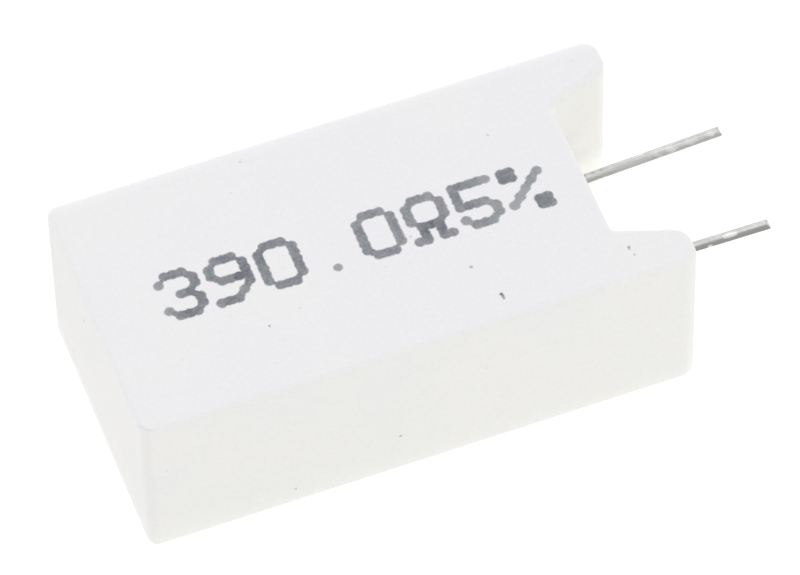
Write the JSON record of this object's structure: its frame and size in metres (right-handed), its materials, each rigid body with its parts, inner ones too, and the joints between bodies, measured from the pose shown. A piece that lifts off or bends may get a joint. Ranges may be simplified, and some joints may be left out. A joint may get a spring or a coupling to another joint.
{
  "type": "wirewound resistor",
  "caption": "Board-mount wirewound resistor: a wire-wound ceramic core potted with cement in a white ceramic case on feet, with tinned wire leads.",
  "frame": {"origin": "centre of the case's broad back face, on which the part lies", "axes": "+X along the case from its closed end to the feet and the leads, +Z out of the broad face that carries the rating"},
  "size_m": [0.0309, 0.013, 0.009],
  "materials": {
    "white_ceramic": "matte",
    "cement": "matte",
    "core_ceramic": "matte",
    "resistance_wire": "satin",
    "cap_steel": "satin",
    "tinned_wire": "satin"
  },
  "bodies": {
    "root": {"ceramic_case": "white_ceramic", "cement_fill": "cement", "core_rod": "core_ceramic", "resistance_winding": "resistance_wire", "deep_cap": "cap_steel", "mouth_cap": "cap_steel", "straight_lead": "tinned_wire", "return_lead": "tinned_wire"}
  },
  "joints": []
}
